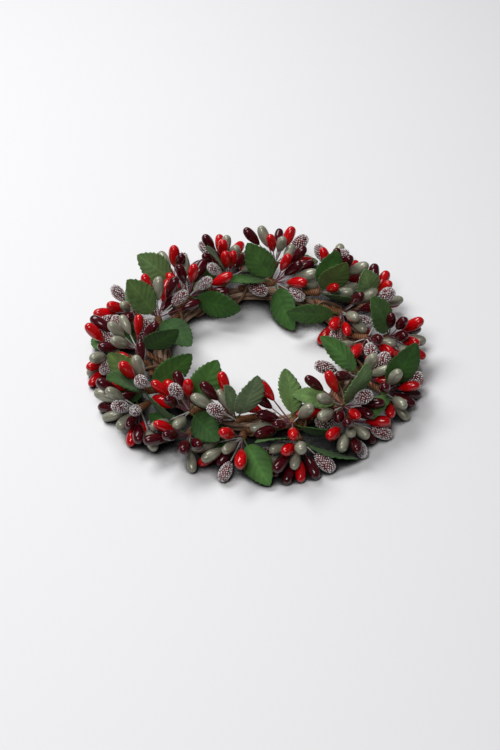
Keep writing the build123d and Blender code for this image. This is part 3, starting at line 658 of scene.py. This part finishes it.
def addLeaf(bm, leaf, tint, seed):
    # a grid drawn into a toothed blade, folded along its midrib and pleated at its side veins:
    # u runs from the stalk (0) to the tip (1), v from one margin (-1) to the other (1)
    size, form = leafSizes, leafForm
    scale = leaf["scale"] * form["ease"]
    first = len(bm.verts)
    firstFace = len(bm.faces)
    bmesh.ops.create_grid(bm, x_segments=form["columns"], y_segments=form["rows"], size=0.5)
    bm.verts.ensure_lookup_table()
    bm.faces.ensure_lookup_table()
    layer = bm.loops.layers.uv.verify()
    tintLayers = bm.loops.layers.float_color
    tintLayer = tintLayers.get("leafTint") or tintLayers.new("leafTint")
    across = leaf["forward"].cross(leaf["normal"])
    for face in bm.faces[firstFace:]:
        for loop in face.loops:
            v, u = loop.vert.co.x * 2, loop.vert.co.y + 0.5
            loop[layer].uv = (v * 0.5 * size["width"] / size["length"] + seed * form["uvStep"], u)
            light = leafLight(u, v)
            loop[tintLayer] = (tint[0] * light, tint[1] * light, tint[2] * light, 1)
    for vert in bm.verts[first:]:
        v, u = vert.co.x * 2, vert.co.y + 0.5
        half = leafHalfWidth(u)
        margin = max(0.0, abs(v) - form["toothFrom"]) / (1 - form["toothFrom"])
        tooth = form["toothDepth"] * ((u * form["teeth"] + form["toothStart"]) % 1)
        x = math.copysign(abs(v) * half + tooth * margin * min(1, half / form["toothFull"]), v) * scale
        y = u * size["length"] * scale
        body = math.sin(math.pi * u)
        z = -(x * x + y * y) / (2 * size["domeRadius"])
        z += form["fold"] * scale * (abs(v) ** form["foldCurve"] - form["foldRest"]) * body ** 0.5
        z += form["pleat"] * scale * veinWave(u, v) * body * abs(v) ** 0.5
        spot = Vector((x * form["crumpleScale"], y * form["crumpleScale"], seed * form["crumpleStep"]))
        z += form["crumple"] * noise.noise(spot)
        base = leaf["start"] + leaf["forward"] * (size["stalk"] + y)
        vert.co = base + across * x + leaf["normal"] * (z + size["thickness"] / 2)


def stalkLine(leaf):
    # a wire that leaves the bundle and thins out under the midrib, half-way along the blade
    size, form = leafSizes, leafForm
    start, forward, normal = leaf["start"], leaf["forward"], leaf["normal"]
    tuck = forward * form["stalkTuck"]
    run = size["length"] * leaf["scale"] * form["stalkReach"]
    sag = run * run / (2 * size["domeRadius"])
    under = form["fold"] * form["foldRest"] + form["stalkSink"]
    middle = start + forward * (size["stalk"] + run / 2) - normal * (sag / 4 + under)
    end = start + forward * (size["stalk"] + run) - normal * (sag + under)
    middleSize, endSize = form["stalkTaper"]
    return [(start - tuck, 1.0), (start, 1.0), (start + tuck, 1.0), (middle, middleSize), (end, endSize)]


def makeLeaves():
    count = 0
    for sector, group in leaves.items():
        tonesAndShade = leafToneAndShade[sector].split()
        node = f"{sector}_leaves"
        bm = bmesh.new()
        for place, leaf in enumerate(group):
            count += 1
            addLeaf(bm, leaf, leafTints[tonesAndShade[place % len(tonesAndShade)]], count)
        mesh = toMesh(bm, f"{sector}Blades")
        blades = addPiece(f"{sector}_leaf_blades", mesh, leafFinish, "leaf_fabric", node)
        thick = blades.modifiers.new("cloth", "SOLIDIFY")
        thick.thickness = leafForm["cloth"]
        thick.offset = 0
        stalks = [stalkLine(leaf) for leaf in group]
        mesh = tubeMesh(f"{sector}Stalks", stalks, leafForm["stalkRadius"], leafForm["stalkRoundness"])
        addPiece(f"{sector}_leaf_stalks", mesh, stalkFinish, "leaf_fabric", node)
    print("leaves made:", count)


# taped stems

tapeForm = {
    "cutEnd": 0.85, "collar": (0.12, 1.02), "waist": (0.5, 0.98), "beforeBend": 0.15, "afterBend": 0.2,
    "rim": 0.98, "plug": (0.6 * mm, 0.6), "roundness": 4,
    "crinkle": 0.12 * mm, "crinkleScale": (900, 900, 900),
}


def tapeLine(tape):
    # from the cut end along the hoop, round the bend and out to the wider mouth, which is plugged
    form = tapeForm
    end, bend, mouth = tape["end"], tape["bend"], tape["mouth"]
    axis = (mouth - bend).normalized()
    flare = mouth - axis * tapeSizes["flare"]
    wide = tapeSizes["mouthRadius"] / tapeSizes["tailRadius"]
    collarAt, collarSize = form["collar"]
    waistAt, waistSize = form["waist"]
    plugAt, plugSize = form["plug"]
    return [(end, form["cutEnd"]), (end.lerp(bend, collarAt), collarSize),
            (end.lerp(bend, waistAt), waistSize), (bend.lerp(end, form["beforeBend"]), 1.0),
            (bend.lerp(flare, form["afterBend"]), 1.0), (flare, 1.0),
            (flare.lerp(mouth, 0.5), (1 + wide) / 2), (mouth, wide * form["rim"]),
            (mouth + axis * plugAt, wide * plugSize)]


def makeTapes():
    for sector, group in tapes.items():
        lines = [tapeLine(tape) for tape in group]
        mesh = tubeMesh(f"{sector}Tape", lines, tapeSizes["tailRadius"], tapeForm["roundness"])
        roughen(mesh, tapeForm["crinkle"], tapeForm["crinkleScale"])
        addPiece(f"{sector}_tape", mesh, tapeFinish, "floral_tape", f"{sector}_taped_stems")
    print("taped stems made")


# vine hoop and its binder

hoopSizes = {
    "opening": 106 * mm, "vine": 3.2 * mm, "gap": 0.6 * mm, "vines": 2, "turns": 2, "endGap": 9 * mm,
    "binder": 1.6 * mm, "clearance": 0.4 * mm, "flat": 0.5 * mm, "stations": 14, "tail": 3.4 * mm,
    "topSeat": 100.0, "outerSeat": 15.0, "firstTail": 198.0, "binderGap": 0.25,
}
hoopForm = {
    "vineSteps": 240, "vineRoundness": 4, "vineKnot": 0.25, "wander": 0.05, "wanderSteps": (9, 5),
    "binderStart": -0.35, "loopSteps": 36, "binderRoundness": 3, "binderKnot": 0.4,
    "swell": 0.10, "swellScale": 160, "knotScale": 70, "knotFrom": 0.35, "ridge": 0.10,
    "ridgeScale": (500, 500, 900),
}
strands = hoopSizes["vines"] * hoopSizes["turns"]
strandOffset = (hoopSizes["vine"] + hoopSizes["gap"]) / (2 * math.sin(math.pi / strands))
bundleRadius = strandOffset + hoopSizes["vine"] / 2
hoopRadius = hoopSizes["opening"] / 2 + bundleRadius
hoopHeight = bundleRadius + hoopSizes["clearance"] + hoopSizes["binder"] - hoopSizes["flat"]


def hoopPoint(coreAngle, sectionAngle, offset):
    core, section = math.radians(coreAngle), math.radians(sectionAngle)
    radius = hoopRadius + offset * math.cos(section)
    height = hoopHeight + offset * math.sin(section)
    return Vector((radius * math.cos(core), radius * math.sin(core), height))


def binderReach(sectionAngle):
    # the binder is drawn tight over the bundle and the two taped tails of a station
    lift = hoopSizes["clearance"] + hoopSizes["binder"] / 2
    seat = bundleRadius + hoopSizes["clearance"] + hoopSizes["tail"] / 2
    aside = np.radians(np.arange(-88.0, 88.1, 1.0))    # every way that a tight binder could lean
    facing = math.radians(sectionAngle) + aside
    reach = np.full(facing.shape, bundleRadius + lift)
    for seatAngle in (hoopSizes["topSeat"], hoopSizes["outerSeat"]):
        overTail = seat * np.cos(facing - math.radians(seatAngle)) + hoopSizes["tail"] / 2 + lift
        reach = np.maximum(reach, overTail)
    return float(np.min(reach / np.cos(aside)))


def barkTube(name, points, radius, roundness, knot):
    # a tube with a wandering thickness, ridges along it and a knot now and then
    form = hoopForm
    line = []
    for place in points:
        swell = form["swell"] * noise.noise(place * form["swellScale"])
        lump = knot * max(0, noise.noise(place * form["knotScale"]) - form["knotFrom"])
        line.append((place, 1 + swell + lump))
    mesh = tubeMesh(name, [line], radius, roundness)
    roughen(mesh, form["ridge"] * radius, form["ridgeScale"])
    return mesh


def vinePoints(vine):
    # two turns round the hoop, in which a strand changes places with the others and wanders a little
    last = hoopSizes["turns"] - hoopSizes["endGap"] / (2 * math.pi * hoopRadius)
    alongStep, vineStep = hoopForm["wanderSteps"]
    points = []
    for step in range(hoopForm["vineSteps"] + 1):
        turn = step / hoopForm["vineSteps"] * last
        section = 360 * (vine / strands + turn * (1 + 1 / hoopSizes["turns"]))
        wander = 1 + hoopForm["wander"] * noise.noise(Vector((turn * alongStep, vine * vineStep, 0)))
        points.append(hoopPoint(360 * turn, section, strandOffset * wander))
    return points


def binderPoints():
    # about one loop for each station, clockwise round the hoop seen from above
    loops = hoopSizes["stations"] - hoopSizes["binderGap"]
    steps = hoopSizes["stations"] * hoopForm["loopSteps"]
    points = []
    for step in range(steps):
        loop = hoopForm["binderStart"] + loops * step / (steps - 1)
        core = hoopSizes["firstTail"] - 360 / hoopSizes["stations"] * loop
        section = hoopSizes["topSeat"] - 360 * loop
        points.append(hoopPoint(core, section, binderReach(section)))
    return points


def makeHoop():
    form = hoopForm
    for vine in range(hoopSizes["vines"]):
        number = vine + 1
        mesh = barkTube(f"vine{number}", vinePoints(vine), hoopSizes["vine"] / 2, form["vineRoundness"],
                        form["vineKnot"])
        addPiece(f"vine_strand_{number}", mesh, vineFinish, "vine_bark", f"vine_{number}")
    mesh = barkTube("binder", binderPoints(), hoopSizes["binder"] / 2, form["binderRoundness"],
                    form["binderKnot"])
    for vert in mesh.vertices:
        vert.co.z = max(vert.co.z, 0.0)    # pressed flat on the table
    addPiece("binder_twig", mesh, twigFinish, "binder_twig", "vine_binder")
    print("hoop made")


makePips()
makeLeaves()
makeTapes()
makeHoop()


# table, light and camera

stageLook = {
    "size": 3.0, "seen": (0.97, 0.97, 0.985), "bounce": (0.20, 0.20, 0.21), "under": 0.028,
    "shade": [(0.15, (0.01, 0.01, 0.01)), (0.39, (0.09, 0.09, 0.09)), (0.51, (0.97, 0.97, 0.97))],
    "sky": (0.98, 0.99, 1.0), "world": 0.10,
    "key": {"place": (-0.45, 0.45, 1.0), "wide": 0.85, "deep": 0.42, "power": 9.6},
    "fill": {"place": (-0.22, -0.62, 1.05), "wide": 0.42, "deep": 0.42, "power": 5.4},
}


def makeTable():
    # pale where it is seen and darker in the light that it throws back, with painted shade in the gaps
    # under the ring: the floor's colour darkens where the ring lies close over it
    bm = bmesh.new()
    bmesh.ops.create_grid(bm, x_segments=1, y_segments=1, size=stageLook["size"])
    table = bpy.data.objects.new("table", toMesh(bm, "table", smooth=False))
    bpy.context.scene.collection.objects.link(table)
    material, tree, shader = newMaterial("paleTable")
    rays = tree.nodes.new("ShaderNodeLightPath").outputs
    seen = rays["Is Camera Ray"]
    for other in ("Is Glossy Ray", "Is Transmission Ray"):
        seen = mathOf(tree, "MAXIMUM", seen, rays[other])
    colour = rampOf(tree, seen, [(0.0, stageLook["bounce"]), (1.0, stageLook["seen"])])
    # painted shade: occlusion by the ring darkens the floor's colour
    shelter = addNode(tree, "ShaderNodeAmbientOcclusion", Distance=stageLook["under"])
    shade = rampOf(tree, shelter.outputs["AO"], stageLook["shade"])
    colourInto(tree, shader, multiplied(tree, colour, shade))
    setSockets(shader, Roughness=0.9, Specular_IOR_Level=0.1)
    table.data.materials.append(material)


def makeLight(name):
    look = stageLook[name]
    data = bpy.data.lights.new(name, "AREA")
    data.shape = "RECTANGLE"
    data.size = look["wide"]
    data.size_y = look["deep"]
    data.energy = look["power"]
    lamp = bpy.data.objects.new(name, data)
    lamp.location = look["place"]
    lamp.rotation_euler = (-Vector(look["place"])).to_track_quat("-Z", "Y").to_euler()
    bpy.context.scene.collection.objects.link(lamp)


def makeWorld():
    world = bpy.data.worlds.new("studio")
    world.use_nodes = True
    sky = world.node_tree.nodes["Background"]
    setSockets(sky, Color=(*stageLook["sky"], 1), Strength=stageLook["world"])
    bpy.context.scene.world = world


cameraLook = {"elevation": 44.0, "distance": 0.900, "pixelsPerMetre": 1667.0, "centre": (256, 363),
              "picture": (500, 750)}


def makeCamera():
    look = cameraLook
    rise = math.radians(look["elevation"])
    right = Vector((1, 0, 0))
    up = Vector((0, math.sin(rise), math.cos(rise)))
    back = Vector((0, -math.cos(rise), math.sin(rise)))
    aside = (look["picture"][0] / 2 - look["centre"][0]) / look["pixelsPerMetre"]
    above = (look["centre"][1] - look["picture"][1] / 2) / look["pixelsPerMetre"]
    aim = right * aside + up * above
    data = bpy.data.cameras.new("camera")
    data.lens = look["pixelsPerMetre"] * look["distance"] / max(look["picture"]) * data.sensor_width
    camera = bpy.data.objects.new("camera", data)
    camera.location = aim + back * look["distance"]
    camera.rotation_euler = (-back).to_track_quat("-Z", "Y").to_euler()
    bpy.context.scene.collection.objects.link(camera)
    bpy.context.scene.camera = camera


makeTable()
makeLight("key")
makeLight("fill")
makeWorld()
bpy.context.scene.view_settings.view_transform = "Standard"
makeCamera()
print("stage set")
